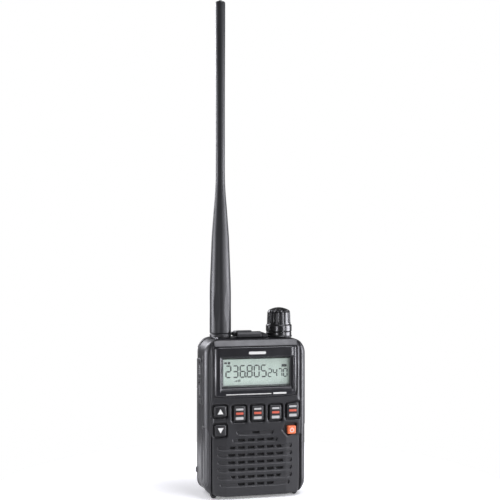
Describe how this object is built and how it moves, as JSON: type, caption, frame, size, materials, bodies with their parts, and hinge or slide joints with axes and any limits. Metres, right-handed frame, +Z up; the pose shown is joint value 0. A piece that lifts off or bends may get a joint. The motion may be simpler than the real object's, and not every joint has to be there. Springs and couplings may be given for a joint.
{
  "type": "handheld radio receiver",
  "caption": "Compact handheld radio with a tapered whip antenna, rotary dial, framed display, keypad and speaker grille in a charcoal case.",
  "frame": {"origin": "on the surface the feet stand on, midway between the sides and midway between front and back", "axes": "+Z up along the case and the antenna, the display faces -Y, the antenna is on the -X side of the top"},
  "size_m": [0.0594, 0.0298, 0.277],
  "materials": {
    "case": "fine-textured charcoal moulding",
    "seal": "matt black silicone",
    "panel": "satin charcoal moulding",
    "window": "clear polished",
    "display": "pale green reflective display",
    "diffuser": "white diffuser",
    "keys": "satin dark grey silicone",
    "power_key": "satin orange silicone",
    "side_rubber": "matt dark grey",
    "cover_rubber": "matt dark grey",
    "board": "solder-masked laminate",
    "net": "fine black net",
    "cone": "pressed black paper",
    "steel": "plated steel",
    "socket_plastic": "black moulding",
    "connector_plastic": "ivory moulding",
    "encoder_metal": "plated",
    "dial": "glossy black",
    "brass": "plated brass",
    "insulator": "white fluoropolymer",
    "antenna_rubber": "matt black, faint sheen",
    "wire": "drawn spring wire",
    "cell": "copper-coloured sleeve"
  },
  "bodies": {
    "root": {"front_case": "case", "rear_case": "case", "case_gasket": "seal", "display_panel": "panel", "lcd_window": "window", "lcd_glass": "display", "lcd_backlight": "diffuser", "lcd_holder": "diffuser", "keypad_mat": "seal", "dome_switches": "steel", "side_key_pad": "side_rubber", "side_key_board": "board", "speaker_net": "net", "speaker_frame": "steel", "speaker_cone": "cone", "speaker_magnet": "steel", "main_board": "board", "rf_board": "board", "shield_cans": "steel", "board_connector": "connector_plastic", "tuning_encoder": "encoder_metal", "encoder_nut": "encoder_metal", "knob_collar": "dial", "antenna_jack": "brass", "antenna_jack_insulator": "insulator", "antenna_jack_contact": "brass", "antenna_jack_nut": "encoder_metal", "speaker_jack": "socket_plastic", "jack_cover_strap": "cover_rubber", "dc_jack": "socket_plastic", "dc_jack_pin": "steel", "battery_left": "cell", "battery_right": "cell", "battery_spring_left": "steel", "battery_spring_right": "steel", "battery_bridge": "steel", "battery_terminals": "steel", "case_screws": "steel", "clip_inserts": "brass", "strap_bar": "steel"},
    "key_up": {"key_up": "keys"},
    "key_down": {"key_down": "keys"},
    "key_band": {"key_band": "keys"},
    "key_step": {"key_step": "keys"},
    "key_mode": {"key_mode": "keys"},
    "key_memory": {"key_memory": "keys"},
    "key_power": {"key_power": "power_key"},
    "side_key_upper": {"side_key_upper": "side_rubber"},
    "side_key_lower": {"side_key_lower": "side_rubber"},
    "dial": {"tuning_knob": "dial", "encoder_shaft": "encoder_metal"},
    "antenna_core": {"antenna_pin": "brass"},
    "antenna": {"antenna_sheath": "antenna_rubber", "antenna_nut": "brass", "antenna_insulator": "insulator", "antenna_element": "wire"},
    "speaker_jack_cover": {"speaker_jack_cover": "cover_rubber"},
    "dc_jack_cover": {"dc_jack_cover": "cover_rubber"},
    "battery_cover": {"battery_cover": "case"}
  },
  "joints": [
    {"name": "key_up_press", "type": "slide", "parent": "root", "child": "key_up", "axis": [0, 1, 0], "range_m": [0, 0.0006], "stiffness_N_per_m": 800},
    {"name": "key_down_press", "type": "slide", "parent": "root", "child": "key_down", "axis": [0, 1, 0], "range_m": [0, 0.0006], "stiffness_N_per_m": 800},
    {"name": "key_band_press", "type": "slide", "parent": "root", "child": "key_band", "axis": [0, 1, 0], "range_m": [0, 0.0006], "stiffness_N_per_m": 800},
    {"name": "key_step_press", "type": "slide", "parent": "root", "child": "key_step", "axis": [0, 1, 0], "range_m": [0, 0.0006], "stiffness_N_per_m": 800},
    {"name": "key_mode_press", "type": "slide", "parent": "root", "child": "key_mode", "axis": [0, 1, 0], "range_m": [0, 0.0006], "stiffness_N_per_m": 800},
    {"name": "key_memory_press", "type": "slide", "parent": "root", "child": "key_memory", "axis": [0, 1, 0], "range_m": [0, 0.0006], "stiffness_N_per_m": 800},
    {"name": "key_power_press", "type": "slide", "parent": "root", "child": "key_power", "axis": [0, 1, 0], "range_m": [0, 0.0006], "stiffness_N_per_m": 800},
    {"name": "side_key_upper_press", "type": "slide", "parent": "root", "child": "side_key_upper", "axis": [1, 0, 0], "range_m": [0, 0.0006], "stiffness_N_per_m": 800},
    {"name": "side_key_lower_press", "type": "slide", "parent": "root", "child": "side_key_lower", "axis": [1, 0, 0], "range_m": [0, 0.0006], "stiffness_N_per_m": 800},
    {"name": "dial_turn", "type": "hinge", "parent": "root", "child": "dial", "pos_m": [0.0169, 0.0015, 0.0944], "axis": [0, 0, 1], "continuous": true},
    {"name": "antenna_lift", "type": "slide", "parent": "root", "child": "antenna_core", "axis": [0, 0, 1], "range_m": [0, 0.0036]},
    {"name": "antenna_unscrew", "type": "hinge", "parent": "antenna_core", "child": "antenna", "pos_m": [-0.0171, 0.0015, 0.0914], "axis": [0, 0, 1], "range_deg": [0, 1800]},
    {"name": "speaker_jack_cover_open", "type": "hinge", "parent": "root", "child": "speaker_jack_cover", "pos_m": [0.0055, 0.0015, 0.09015], "axis": [0, 1, 0], "range_deg": [0, 88]},
    {"name": "dc_jack_cover_open", "type": "hinge", "parent": "root", "child": "dc_jack_cover", "pos_m": [0.0292, -0.0009, 0.064], "axis": [0, 1, 0], "range_deg": [0, 105]},
    {"name": "battery_cover_slide", "type": "slide", "parent": "root", "child": "battery_cover", "axis": [0, 0, -1], "range_m": [0, 0.055]}
  ],
  "couplings": [
    {"joint": "antenna_lift", "follows": "antenna_unscrew", "m_per_rad": 0.0001123}
  ]
}
